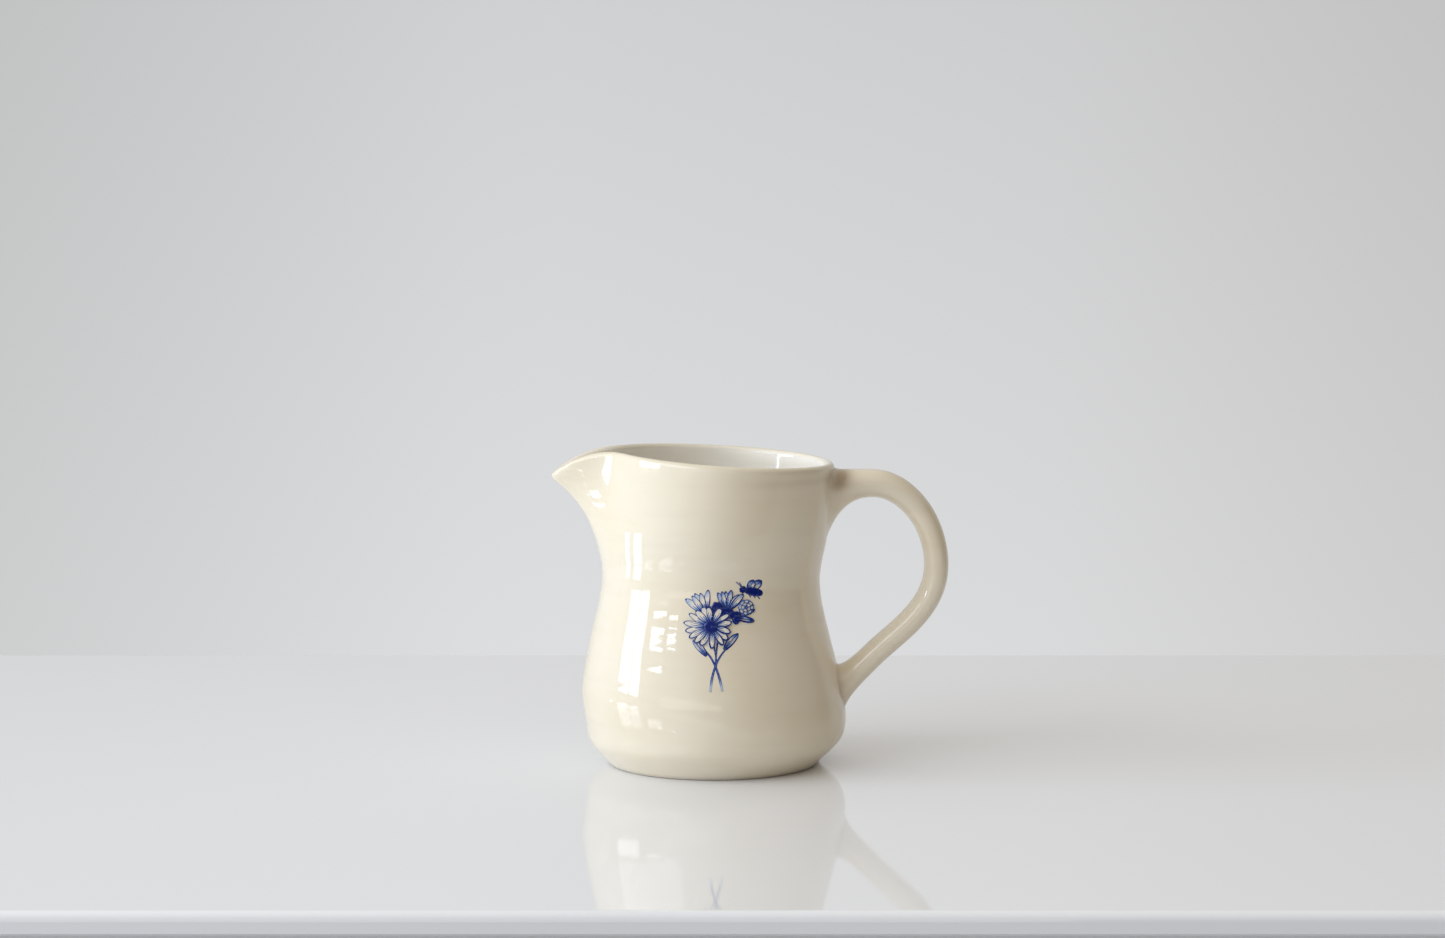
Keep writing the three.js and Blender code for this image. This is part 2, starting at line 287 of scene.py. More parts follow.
def jug_body():
    """The pot in rows: under the foot, up the outside, over the lip, down to the floor."""
    angle = pot_angles()[None, :]
    rows = []
    flat = np.linspace(4, FOOT_RADIUS - 1.2, FLOOR_ROWS)
    radii = [flat, [FOOT_RADIUS - 0.5, FOOT_RADIUS + 0.05]]
    for radius in np.concatenate(radii):
        height = 0 if radius < FOOT_RADIUS - 0.3 else 0.1
        rows.append(throw(radius, height, 0, angle)[0])
    for radius, height in OUTSIDE.at(np.linspace(0, OUTSIDE.length, OUTER_ROWS)):
        ringed = radius + throwing_rings(height, angle)
        rows.append(throw(ringed, height, 0, angle)[0])
    for depth, height in zip(*lip_arc(LIP_ROWS)):
        rows.append(throw(RIM_RADIUS - depth, height, depth, angle)[0])
    lip_row = len(rows) - 6
    inner = OUTSIDE.at(np.linspace(OUTSIDE.length, 0, INNER_ROWS))
    for i, (radius, height) in enumerate(inner):
        if height < FLOOR_CORNER + FLOOR_THICKNESS:
            break
        depth = lerp(LIP_THICKNESS, WALL_THICKNESS, min(i / THICKENING_ROWS, 1))
        ridges = 1.6 * throwing_rings(height + 3.1, -angle)
        rows.append(throw(radius - depth + ridges, height, depth, angle)[0])
        foot = (radius - depth, height)
    for turn in np.linspace(0, math.pi / 2, CORNER_ROWS)[1:]:
        radius = foot[0] - FLOOR_CORNER * (1 - math.cos(turn))
        height = FLOOR_THICKNESS + (foot[1] - FLOOR_THICKNESS) * (1 - math.sin(turn))
        rows.append(throw(radius, height, WALL_THICKNESS, angle)[0])
    for radius in np.linspace(radius, 3, FLOOR_ROWS)[1:]:
        height = FLOOR_THICKNESS + 0.12 * math.sin(radius * 1.3)
        rows.append(throw(radius, height, WALL_THICKNESS, angle)[0])
    grid = np.array(rows)
    points = grid.reshape(-1, 3)
    faces = grid_faces(len(rows), COLUMNS, True)
    # Marks the inside of the pot, where the glaze is painted lighter as painted light in the mouth.
    inside = np.repeat(np.clip((np.arange(len(rows)) - lip_row) / 6, 0, 1), COLUMNS)
    inside = np.concatenate([inside, [0, 1]])
    bottom, floor = len(points), len(points) + 1
    points = np.vstack([points, [[0, 0, 0]], [[0, 0, FLOOR_THICKNESS]]])
    last = (len(rows) - 1) * COLUMNS
    for j in range(COLUMNS):
        k = (j + 1) % COLUMNS
        faces.append((bottom, k, j))
        faces.append((floor, last + j, last + k))
    # The pool values hold pooled glaze together with painted shade and a painted contact shadow.
    values = {"pool_and_painted_shade": pooled_glaze_and_painted_shade(points), "inside": inside}
    return make_object("thrown_pot", points, faces, values)


def pooled_glaze_and_painted_shade(points):
    """Where the glaze is brown: pooled glaze with painted shade at the roots, painted shade under the
    lip and a painted contact shadow at the edge of the foot.
    """
    x, y, z = points.T
    near_low = np.hypot(y / 9.5, (z - 24.6) / 7.8)
    # Browner ring round the lower root: pooled glaze with painted shade in the crease.
    low_crease_pool_and_shade = 0.5 * gauss((near_low - 1) / 0.13) * (x > 25) * (z > 8)
    # Painted shade: a brown band under the lip on the handle's side.
    painted_shade_under_lip = 0.2 * gauss((z - 93.5) / 1.3) * smoothstep(x, 0, 26)
    # Painted contact shadow: brown round the edge of the foot where it meets the shelf.
    painted_contact_shadow = 0.45 * gauss(z / 0.9) * (np.hypot(x, y) > FOOT_RADIUS - 3)
    return np.clip(root_pool_and_painted_shade(points) + low_crease_pool_and_shade + painted_shade_under_lip + painted_contact_shadow, 0, 1)


def root_pool_and_painted_shade(points):
    """Brown beside the handle's top root: glaze gathered in the crease, with painted shade there."""
    x, y, z = points.T
    return 1.15 * gauss((x - 41 - 0.3 * (z - 93)) / 3) * gauss((z - 93.2) / 4)


# ---------------------------------------------------------------- the handle

HANDLE_LINE = Spline([
    (32, 88.6), (44, 90), (54.3, 90.3), (64.2, 84.3), (70.9, 72), (71.2, 58.2),
    (64.4, 46.7), (52.4, 35.6), (45.6, 28), (41.2, 20.5), (40.1, 11),
])

TOP_ROOT_LENGTH = 19.6  # of the strap's line, from its start
TOP_FOOT_HEIGHT = 88  # where the upper root is widest on the wall
TOP_FOOT_RISE = 8.6
TOP_FOOT_DROP = 18.7
TOP_FOOT_HALF = 13
LOW_ROOT_LENGTH = 27.2  # of the strap's line, back from its end
LOW_FOOT_HEIGHT = 24
LOW_FOOT_RISE = 8.4
LOW_FOOT_DROP = 7.2
LOW_FOOT_HALF = 9.4
ROOT_INSET = 0.25  # how far a root ends inside the wall
SQUARENESS = 2 / 2.25  # a little squarer than an ellipse, which is 1


def wall_behind(y, z, inset):
    """A point of the outer wall on the handle's side, moved into the clay."""
    radius = np.interp(z, PROFILE[:, 1], PROFILE[:, 0])
    angle = math.pi - np.arcsin(np.clip(y / radius, -1, 1))
    radius = radius + throwing_rings(z, angle) - inset
    x = drift(z) + np.sqrt(np.maximum(radius**2 - y**2, 0))
    return np.stack([x, y, z], -1)


def handle_ring(run):
    """One ring of the strap, and the direction in which the strap runs there."""
    along = run / HANDLE_LINE.length
    centre = HANDLE_LINE.at(run)[0]
    tangent = HANDLE_LINE.tangent(run)[0]
    middle = smoothstep(along, 0.1, 0.42)
    thick = lerp(HANDLE_THICKNESS, HANDLE_THIN, middle) / 2
    wide = lerp(HANDLE_WIDTH, HANDLE_NARROW, middle) / 2
    turn = np.linspace(0, 2 * math.pi, RING, endpoint=False)
    reach = thick * np.sign(np.cos(turn)) * np.abs(np.cos(turn)) ** SQUARENESS
    across = wide * np.sign(np.sin(turn)) * np.abs(np.sin(turn)) ** SQUARENESS
    x = centre[0] - tangent[1] * reach
    z = centre[1] + tangent[0] * reach
    return np.stack([x, across, z], -1), np.array([tangent[0], 0, tangent[1]])


def root(ring, away, foot_y, foot_z, leave, arrive):
    """Rings that blend a ring of the strap into the wall, ending just inside it."""
    foot = wall_behind(foot_y, foot_z, ROOT_INSET)
    edge = wall_behind(foot_y, foot_z, 0)
    heading = unit(wall_behind(foot_y * 0.5, lerp(foot_z.mean(), foot_z, 0.5), 0) - edge)
    step = 0.05
    near = wall_behind(foot_y + heading[:, 1] * step, foot_z + heading[:, 2] * step, 0)
    inward = unit(near - edge)
    gap = np.linalg.norm(foot - ring, axis=1, keepdims=True)
    first = ring + away * leave[:, None] * gap
    second = foot + inward * arrive[:, None]
    lift = wall_behind(second[:, 1], second[:, 2], 0)
    second[:, 0] = lift[:, 0] + 0.12
    rings = []
    for t in np.linspace(0, 1, ROOT_ROWS + 1)[1:]:
        s = 1 - t
        point = s**3 * ring + 3 * s * s * t * first + 3 * s * t * t * second + t**3 * foot
        rings.append(point)
    return rings


def foot_heights(turn, middle, outer, inner):
    """Heights round a root's foot, which reaches unequally far up and down."""
    return middle + np.cos(turn) * np.where(np.cos(turn) > 0, outer, inner)


def strap_grid():
    """The whole handle as one grid, from inside the wall at its top to its foot."""
    first = TOP_ROOT_LENGTH
    last = HANDLE_LINE.length - LOW_ROOT_LENGTH
    runs = np.linspace(first, last, STRAP_ROWS)
    rings = [handle_ring(run)[0] for run in runs]
    turn = np.linspace(0, 2 * math.pi, RING, endpoint=False)
    under = 0.5 - 0.5 * np.cos(turn)  # 0 on the strap's outer side, 1 on its inner

    top_ring, top_away = handle_ring(first)
    foot_z = foot_heights(turn, TOP_FOOT_HEIGHT, TOP_FOOT_RISE, TOP_FOOT_DROP)
    foot_y = TOP_FOOT_HALF * np.sin(turn)
    leave = lerp(0.72, 0.4, under**2)
    arrive = lerp(2.4, 8.5, under)
    top = root(top_ring, -top_away, foot_y, foot_z, leave, arrive)

    low_ring, low_away = handle_ring(last)
    foot_z = foot_heights(turn, LOW_FOOT_HEIGHT, -LOW_FOOT_DROP, -LOW_FOOT_RISE)
    foot_y = LOW_FOOT_HALF * np.sin(turn)
    leave = lerp(0.4, 0.55, under)
    arrive = lerp(3.6, 2.0, under)
    low = root(low_ring, low_away, foot_y, foot_z, leave, arrive)
    grid = np.array(top[::-1] + rings + low)
    return grid, len(top), len(top) + len(rings) - 1


def strap_piece(name, grid, normals, crease_pool_and_shade):
    """Part of the strap's grid as a closed mesh that keeps the whole grid's normals."""
    rows = len(grid)
    points = grid.reshape(-1, 3)
    faces = [face[::-1] for face in grid_faces(rows, RING, True)]
    start, end = len(points), len(points) + 1
    points = np.vstack([points, grid[0].mean(0), grid[-1].mean(0)])
    last = (rows - 1) * RING
    for j in range(RING):
        k = (j + 1) % RING
        faces.append((start, j, k))
        faces.append((end, last + k, last + j))
    # Brown at the roots: pooled glaze with painted shade.
    pool_and_painted_shade = np.concatenate([np.repeat(crease_pool_and_shade, RING), [0, 0]]) + root_pool_and_painted_shade(points)
    made = make_object(name, points, faces, {"pool_and_painted_shade": np.clip(pool_and_painted_shade, 0, 1)})
    ends = [grid[0].mean(0) - grid[1].mean(0), grid[-1].mean(0) - grid[-2].mean(0)]
    ends = [end / np.linalg.norm(end) for end in ends]
    kept = np.vstack([normals.reshape(-1, 3), ends]).tolist()
    made.data.normals_split_custom_set_from_vertices(kept)
    return made


def handle_pieces():
    """The strap's grid cut into its two roots and the strap between them."""
    grid, first, last = strap_grid()
    normals = -grid_normals(grid)
    rows_from_foot = len(grid) - 1 - np.arange(len(grid))
    # Browner rows towards the strap's lower foot: pooled glaze with painted shade in the crease.
    crease_pool_and_shade = 0.5 * gauss(rows_from_foot / 6)
    pieces = []
    for name, part in (
        ("upper_join", slice(0, first + 1)),
        ("handle_strap", slice(first, last + 1)),
        ("lower_join", slice(last, len(grid))),
    ):
        pieces.append(strap_piece(name, grid[part], normals[part], crease_pool_and_shade[part]))
    return pieces


# -------------------------------------------------------------- the transfers

INK_DEPTH = 0.06  # how far a printed mark reaches into the wall
INK_LIFT = 0.02  # the least that a mark stands off it
INK_STEP = 0.0025  # what each mark adds to that, so that later ones lie on top


class Print:
    """Thin marks laid on the front wall, each a little above the ones before it."""

    def __init__(self):
        self.points = []
        self.faces = []
        self.ink = []
        self.lift = INK_LIFT

    def mark(self, x, z, ink):
        """Lays a grid of places on the wall as a thin slab, with how dark each one is."""
        x, z, ink = np.broadcast_arrays(x, z, ink)
        rows, columns = x.shape
        count = rows * columns
        self.lift += INK_STEP
        start = sum(len(part) for part in self.points)
        top = wall_in_front(x, z, self.lift).reshape(-1, 3)
        under = wall_in_front(x, z, -INK_DEPTH).reshape(-1, 3)
        self.points += [top, under]
        self.ink += [np.ravel(ink), np.ravel(ink)]
        self.faces += grid_faces(rows, columns, False, start)
        self.faces += [face[::-1] for face in grid_faces(rows, columns, False, start + count)]
        index = np.arange(count).reshape(rows, columns)
        edge = [*index[0, :-1], *index[:-1, -1], *index[-1, :0:-1], *index[:0:-1, 0]]
        for a, b in zip(edge, edge[1:] + edge[:1]):
            a, b = int(a) + start, int(b) + start
            self.faces.append((b, a, a + count, b + count))

    def line(self, path, width, ink):
        """A drawn line along a path, with a softer edge on each side."""
        path = np.array(path, float)
        along = np.gradient(path, axis=0)
        along = along / np.maximum(np.linalg.norm(along, axis=1, keepdims=True), 1e-9)
        side = np.stack([-along[:, 1], along[:, 0]], 1)
        half = np.broadcast_to(np.asarray(width, float), (len(path),))[:, None] / 2
        ink = np.broadcast_to(np.asarray(ink, float), (len(path),))[:, None]
        across = np.array([-1, -0.55, 0.55, 1])[None, :]
        shade = np.array([0.45, 1, 1, 0.45])[None, :]
        x = path[:, :1] + side[:, :1] * half * across
        z = path[:, 1:] + side[:, 1:] * half * across
        self.mark(x, z, ink * shade)

    def piece(self, name):
        points = np.vstack(self.points)
        return make_object(name, points, self.faces, {"ink": np.concatenate(self.ink)})


def wall_in_front(x, z, lift):
    """The outer wall in front of a flat place, moved out by a distance."""
    radius = np.interp(z, PROFILE[:, 1], PROFILE[:, 0])
    step = 0.3
    slope = (np.interp(z + step, PROFILE[:, 1], PROFILE[:, 0]) - radius) / step
    beside = x - drift(z)
    angle = -math.pi / 2 - np.arcsin(np.clip(beside / radius, -1, 1))
    angle = np.where(angle < -math.pi, angle + 2 * math.pi, angle)
    squeeze = share_of_rise(z, PINCH_START) ** 2
    radius = radius + throwing_rings(z, angle) + wall_shift(angle, 0, 0, squeeze)
    y = -np.sqrt(np.maximum(radius**2 - beside**2, 0))
    out = lift / np.sqrt(1 + slope**2)
    return np.stack([x + out * beside / radius, y + out * y / radius, z - out * slope], -1)


def petal_frame(centre, angle, start, length, width, bend=0.0):
    """Places (u, v) on a petal: u runs out to its tip, v from edge to edge."""
    direction = np.array([math.cos(angle), math.sin(angle)])
    side = np.array([-direction[1], direction[0]])

    def place(u, v):
        u, v = np.broadcast_arrays(u, v)
        swell = width / 2 * (np.clip(u, 0, 1) ** 0.7) * (np.clip(1 - u, 0, 1) ** 0.5) * 2
        out = start + length * u
        off = v * swell + bend * u**2 * length
        x = centre[0] + direction[0] * out + side[0] * off
        z = centre[1] + direction[1] * out + side[1] * off
        return x, z

    return place


def draw_petal(sheet, centre, angle, start, length, width, shade, bend, outline=0.5):
    """A washed petal with a dark outline, a dark tip and a few drawn veins.

    shade gives how dark its wash is at the base, at the tip and along one side.
    """
    place = petal_frame(centre, angle, start, length, width, bend)
    u = np.linspace(0.02, 0.985, 12)[:, None]
    v = np.linspace(-1, 1, 7)[None, :]
    base, tip, side = shade
    wash = base * np.clip(1 - u * 1.9, 0, 1) + tip * np.clip(u * 2.6 - 1.6, 0, 1)
    wash = np.clip(wash + side * np.clip(v, 0, 1) * (1 - 0.4 * u), 0, 1)
    x, z = place(u, v)
    sheet.mark(x, z, wash)
    u = np.linspace(0.04, 0.985, 13)
    for v, weight in ((-1, 1.0), (1, 0.8)):
        x, z = place(u, v)
        swell = outline * weight * (0.75 + 0.35 * np.sin(u * 3 + angle))
        sheet.line(np.stack([x, z], 1), swell, 1.0)
    tips = np.linspace(-1, 1, 5)
    x, z = place(0.985, tips)
    sheet.line(np.stack([x, z], 1), outline, 1.0)
    for v in (-0.4, 0.35):
        reach = 0.45 + 0.3 * rng.random()
        u = np.linspace(0.05, reach, 8)
        x, z = place(u, v)
        sheet.line(np.stack([x, z], 1), 0.26 * (1 - u * 0.6), 0.95 - 0.4 * u)


def draw_disc(sheet, centre, radius, ink, rim, squash=1.0):
    """A ragged dark spot, shaded from ink at its middle to rim at its edge."""
    turn = np.linspace(0, 2 * math.pi, 21)[None, :]
    rings = np.linspace(0.02, 1, 5)[:, None]
    ragged = 1 + 0.08 * np.sin(turn * 7) * rings
    x = centre[0] + radius * rings * ragged * np.cos(turn)
    z = centre[1] + radius * squash * rings * ragged * np.sin(turn)
    sheet.mark(x, z, lerp(ink, rim, rings**3) + 0 * turn)


def draw_daisy(sheet, centre, angles, start, lengths, width, shade):
    """Petals round a centre, at the given angles in degrees, drawn in a mixed order."""
    for i in rng.permutation(len(angles)):
        turn = math.radians(angles[i] + rng.uniform(-4, 4))
        reach = lengths[i] * rng.uniform(0.93, 1.07)
        broad = width * rng.uniform(0.9, 1.15)
        bend = rng.uniform(-0.1, 0.1)
        draw_petal(sheet, centre, turn, start, reach, broad, shade, bend)


def draw_leaf(sheet, foot, tip, width, bend, shade):
    """A petal from foot to tip with a drawn midrib."""
    foot, tip = np.array(foot, float), np.array(tip, float)
    span = tip - foot
    angle = math.atan2(span[1], span[0])
    length = float(np.hypot(*span))
    draw_petal(sheet, foot, angle, 0, length, width, shade, bend)
    place = petal_frame(foot, angle, 0, length, width, bend)
    u = np.linspace(0.02, 0.95, 10)
    x, z = place(u, 0)
    sheet.line(np.stack([x, z], 1), 0.28, 1.0)


def draw_stem(sheet, start, through, end, width):
    """A washed stem with a line down each side, fading towards its cut end."""
    start, through, end = (np.array(p, float) for p in (start, through, end))
    control = 2 * through - (start + end) / 2
    t = np.linspace(0, 1, 26)[:, None]
    path = (1 - t) ** 2 * start + 2 * t * (1 - t) * control + t**2 * end
    fade = np.clip((1 - t[:, 0]) * 4, 0.3, 1)
    sheet.line(path, width * lerp(1, 1.5, t[:, 0]), 0.55 * fade)
    for shift in (-0.4, 0.4):
        beside = path + np.array([shift * width, 0]) * lerp(0.8, 1.3, t)
        sheet.line(beside, 0.26, 1.0 * fade)


def bouquet():
    """A daisy in front of smaller flowers and leaves, on crossed stems."""
    sheet = Print()
    daisy = np.array([-0.6, 49.2])
    crossing = (0.8, 37.2)
    for start in ((0, 44.5), (1.5, 44.5)):
        draw_stem(sheet, start, (1, 40), (0.9, 36.4), 0.4)
    for start, end in (((-2.4, 42), (3.0, 29.6)), ((4.2, 42.5), (-0.8, 29.4))):
        draw_stem(sheet, start, crossing, end, 0.55)
    draw_leaf(sheet, (-1.8, 40.2), (-5.6, 45.4), 2.2, 0.1, (0.95, 0.4, 0.25))
    draw_leaf(sheet, (3.4, 42), (7.3, 47.4), 2.2, -0.1, (0.9, 0.85, 0.3))
    for centre, angles, start, lengths, width, shade in (
        ((-2.2, 53), (142, 127, 113, 99, 84), 0.4, (7.4, 7.1, 6.8, 6.6, 6.9), 2.0, (1.0, 0.35, 0.25)),
        ((4.4, 54.2), (120, 106, 92, 78), 0.4, (6.0, 6.0, 5.8, 5.6), 1.7, (1.0, 0.5, 0.6)),
        ((4.6, 54), (60, 44), 0.6, (5.6, 6.6), 1.8, (0.7, 0.4, 0.2)),
    ):
        draw_daisy(sheet, centre, angles, start, lengths, width, shade)
    for tip in ((13.1, 53.6), (12.6, 50.2), (7.4, 50)):
        draw_leaf(sheet, (6.4, 52.6), tip, 1.7, 0.08, (1.0, 1.0, 0.8))
    draw_floret(sheet, (10.3, 55))
    for place, radius, squash in (
        ((4.2, 53.4), 2.3, 0.8),
        ((6.8, 52.6), 1.9, 0.7),
        ((1.2, 54.8), 1.8, 1.2),
        ((-1.6, 54.2), 1.5, 1.0),
        ((7.6, 51.4), 1.3, 0.8),
    ):
        draw_disc(sheet, place, radius, 1.0, 0.9, squash)
    angles = [172, 152, 134, 112, 92, 62, 38, 14, -10, -34, -58, -84, -112, -138, -160, 192]
    angles = np.array(angles)
    lengths = 4.9 + 1.6 * gauss((angles - 172) / 34) + 0.8 * gauss((angles + 160) / 26)
    draw_daisy(sheet, daisy, angles, 1.5, lengths, 1.9, (0.6, 0.12, 0.1))
    draw_disc(sheet, daisy, 2.1, 1.0, 1.0)
    return sheet.piece("bouquet")


def draw_floret(sheet, centre):
    """A small round flower of short petals in two rings."""
    draw_disc(sheet, centre, 2.4, 0.5, 0.62)
    for ring, count in ((1.5, 8), (0.7, 5)):
        for i in range(count):
            turn = 2 * math.pi * i / count + ring
            place = (centre[0] + ring * math.cos(turn), centre[1] + ring * math.sin(turn))
            draw_petal(sheet, place, turn, -0.6, 1.4, 1.3, (0.7, 0.3, 0.3), 0, 0.24)


def bee():
    """Two wings, a striped body, a head, two feelers and three legs."""
    sheet = Print()
    centre = np.array([12.1, 59.9])
    lean = math.radians(-14)
    for tip, width in (((15.4, 62.8), 2.9), ((12.9, 63.3), 2.6)):
        draw_leaf(sheet, (11.0, 60.2), tip, width, 0.05, (1.0, 0.9, 0.7))
    place = petal_frame(centre, lean, -3.4, 7.2, 3.0)
    u = np.linspace(0.02, 0.98, 16)[:, None]
    v = np.linspace(-1, 1, 7)[None, :]
    x, z = place(u, v)
    stripes = np.where(np.sin(u * 22) > 0, 1.0, 0.85) + 0 * v
    sheet.mark(x, z, stripes)
    draw_disc(sheet, centre + [-2.7, 0.7], 1.15, 1.0, 1.0)
    for reach in ((-4.9, 3.2), (-3.9, 3.0)):
        t = np.linspace(0, 1, 8)[:, None]
        path = lerp(centre + [-2.9, 1.1], centre + reach, t) + np.array([0.5, 0.2]) * t * (1 - t)
        sheet.line(path, 0.28, 0.95)
    for start in (-1.0, 0.4, 1.8):
        t = np.linspace(0, 1, 6)[:, None]
        root_at = centre + [start, -1.0 - 0.25 * start]
        sheet.line(lerp(root_at, root_at + [0.8, -1.1], t), 0.3, 0.95)
    return sheet.piece("bee")


# ---------------------------------------------------------------- materials


def node_material(name):
    material = bpy.data.materials.new(name)
    material.use_nodes = True
    nodes = material.node_tree.nodes
    nodes.clear()
    output = nodes.new("ShaderNodeOutputMaterial")
    shader = nodes.new("ShaderNodeBsdfPrincipled")
    material.node_tree.links.new(shader.outputs["BSDF"], output.inputs["Surface"])
    return material, shader


def add_node(material, kind, inputs=None, **settings):
    """A new node, with its settings and its inputs, given as values or as sockets."""
    node = material.node_tree.nodes.new(kind)
    for key, value in settings.items():
        setattr(node, key, value)
    for key, value in (inputs or {}).items():
        if isinstance(value, bpy.types.NodeSocket):
            material.node_tree.links.new(value, node.inputs[key])
        else:
            node.inputs[key].default_value = value
    return node


def mix_colour(material, factor, a, b):
    node = add_node(material, "ShaderNodeMix", data_type="RGBA")
    links = material.node_tree.links
    for socket, value in ((0, factor), (6, a), (7, b)):
        if isinstance(value, bpy.types.NodeSocket):
            links.new(value, node.inputs[socket])
        else:
            node.inputs[socket].default_value = value
    return node.outputs[2]


def product(material, a, b, clamp=False):
    settings = {"operation": "MULTIPLY", "use_clamp": clamp}
    return add_node(material, "ShaderNodeMath", {0: a, 1: b}, **settings).outputs[0]


def noise(material, where, scale, detail):
    inputs = {"Vector": where, "Scale": scale, "Detail": detail}
    return add_node(material, "ShaderNodeTexNoise", inputs).outputs[0]


def remap(material, value, inputs, **settings):
    """The value moved to another range: 1 and 2 are its old ends, 3 and 4 its new."""
    return add_node(material, "ShaderNodeMapRange", {"Value": value, **inputs}, **settings).outputs[0]


def ramp_stops(node, stops):
    elements = node.color_ramp.elements
    while len(elements) < len(stops):
        elements.new(0.5)
    for element, (position, colour) in zip(elements, stops):
        element.position = position
        element.color = colour


GLAZE = (0.82, 0.742, 0.602, 1)
GLAZE_WARM = (0.80, 0.708, 0.545, 1)
GLAZE_STREAK = (0.74, 0.645, 0.49, 1)
# A lighter glaze for the inside of the pot: painted light, not a glaze of its own.
INSIDE_PAINTED_LIGHT = (0.93, 0.895, 0.82, 1)
# Brown for pooled glaze, also used as painted shade in the creases, under the lip and at the foot.
POOL_AND_SHADE_BROWN = (0.30, 0.205, 0.12, 1)
SPECK = (0.20, 0.13, 0.07, 1)


def glaze_colour(material, where):
    """Cream glaze: faintly cloudy, with a few iron specks, painted lighter inside as painted light,
    and browner where it ran thick, with painted shade and a painted contact shadow mixed into that
    brown.
    """
    cloudy = remap(material, noise(material, where, 38.0, 3.0), {1: 0.4, 2: 0.75})
    colour = mix_colour(material, cloudy, GLAZE, GLAZE_WARM)
    flatten = {0: where, 1: (0.12, 0.12, 1.0)}
    stretched = add_node(material, "ShaderNodeVectorMath", flatten, operation="MULTIPLY")
    lines = noise(material, stretched.outputs[0], 260.0, 4.0)
    streaks = remap(material, lines, {1: 0.5, 2: 0.8, 4: 0.32})
    colour = mix_colour(material, streaks, colour, GLAZE_STREAK)
    # The inside is painted lighter: painted light falling into the mouth.
    inside = add_node(material, "ShaderNodeAttribute", attribute_name="inside")
    colour = mix_colour(material, inside.outputs["Fac"], colour, INSIDE_PAINTED_LIGHT)
    spots = add_node(material, "ShaderNodeTexVoronoi", {"Vector": where, "Scale": 95.0})
    small = remap(material, spots.outputs["Distance"], {1: 0.028, 2: 0.014})
    chosen = add_node(material, "ShaderNodeSeparateColor", {0: spots.outputs["Color"]})
    limit = {0: chosen.outputs[0], 1: 0.89}
    few = add_node(material, "ShaderNodeMath", limit, operation="GREATER_THAN")
    speck = product(material, small, few.outputs[0])
    colour = mix_colour(material, product(material, speck, 0.7, True), colour, SPECK)
    # Brown where glaze pooled, mixed with painted shade in the creases and under the lip and a
    # painted contact shadow at the foot.
    pool_and_painted_shade = add_node(material, "ShaderNodeAttribute", attribute_name="pool_and_painted_shade")
    pool_and_shade_amount = product(material, pool_and_painted_shade.outputs["Fac"], 0.75, True)
    return mix_colour(material, pool_and_shade_amount, colour, POOL_AND_SHADE_BROWN)


def finish_glaze(material, shader, where):
    """The gloss, with the faint unevenness of a fired glaze."""
    links = material.node_tree.links
    shader.inputs["IOR"].default_value = 1.52
    rough = remap(material, noise(material, where, 60.0, 2.0), {3: 0.035, 4: 0.085})
    links.new(rough, shader.inputs["Roughness"])
    ripple = noise(material, where, 150.0, 2.0)
    inputs = {"Strength": 0.03, "Distance": 0.0005, "Height": ripple}
    bump = add_node(material, "ShaderNodeBump", inputs)
    links.new(bump.outputs[0], shader.inputs["Normal"])


def place_of(material):
    return add_node(material, "ShaderNodeTexCoord").outputs["Object"]


def glaze_material():
    material, shader = node_material("cream_glaze")
    where = place_of(material)
    material.node_tree.links.new(glaze_colour(material, where), shader.inputs["Base Color"])
    finish_glaze(material, shader, where)
    return material


def ink_material():
    """Cobalt ink: bare glaze where it is weakest, then pale blue, blue and almost black."""
    material, shader = node_material("cobalt_print")
    where = place_of(material)
    ink = add_node(material, "ShaderNodeAttribute", attribute_name="ink")
    grain = noise(material, where, 1500.0, 2.0)
    uneven = remap(material, grain, {1: 0.3, 2: 0.7, 3: 0.8, 4: 1.12})
    strength = product(material, ink.outputs["Fac"], uneven)
    ramp = add_node(material, "ShaderNodeValToRGB", {0: strength})
    ramp_stops(ramp, (
        (0.0, GLAZE),
        (0.3, (0.32, 0.42, 0.60, 1)),
        (0.58, (0.03, 0.10, 0.42, 1)),
        (0.8, (0.0, 0.012, 0.15, 1)),
    ))
    material.node_tree.links.new(ramp.outputs[0], shader.inputs["Base Color"])
    finish_glaze(material, shader, where)
    return material


def shelf_material():
    """White lacquer, very glossy and only faintly uneven."""
    material, shader = node_material("white_lacquer")
    where = place_of(material)
    links = material.node_tree.links
    cloud = noise(material, where, 6.0, 2.0)
    shades = ((0.865, 0.88, 0.92, 1), (0.89, 0.905, 0.945, 1))
    links.new(mix_colour(material, cloud, *shades), shader.inputs["Base Color"])
    rough = remap(material, noise(material, where, 30.0, 3.0), {3: 0.03, 4: 0.055})
    links.new(rough, shader.inputs["Roughness"])
    shader.inputs["IOR"].default_value = 1.5
    return material


# ---------------------------------------------------------------- the setting


def shelf():
    """A plain glossy white shelf: a thin top with rounded edges, over a set-back front."""
    left, right, front, back = -288, 620, -214, 223
    thickness, round_edge, set_back, depth = 6.4, 2.6, 14, 60
    levels = []
    for turn in np.linspace(0, math.pi / 2, 7):
        levels.append((round_edge * (1 - math.sin(turn)), round_edge * (1 - math.cos(turn))))
    levels += [(0, thickness - 0.6), (0.6, thickness), (set_back, thickness), (set_back, depth)]
    points = []
    for inset, drop in levels:
        x0, x1 = left + inset, right - inset
        y0, y1 = front + inset, back - inset
        points += [(x0, y0, -drop), (x1, y0, -drop), (x1, y1, -drop), (x0, y1, -drop)]
    last = len(points)
    faces = [(0, 1, 2, 3), (last - 1, last - 2, last - 3, last - 4)]
    for level in range(len(levels) - 1):
        for j in range(4):
            a, b = level * 4 + j, level * 4 + (j + 1) % 4
            faces.append((a, a + 4, b + 4, b))
    made = make_object("shelf", points, faces)
    made.data.shade_flat()
    made.data.materials.append(shelf_material())


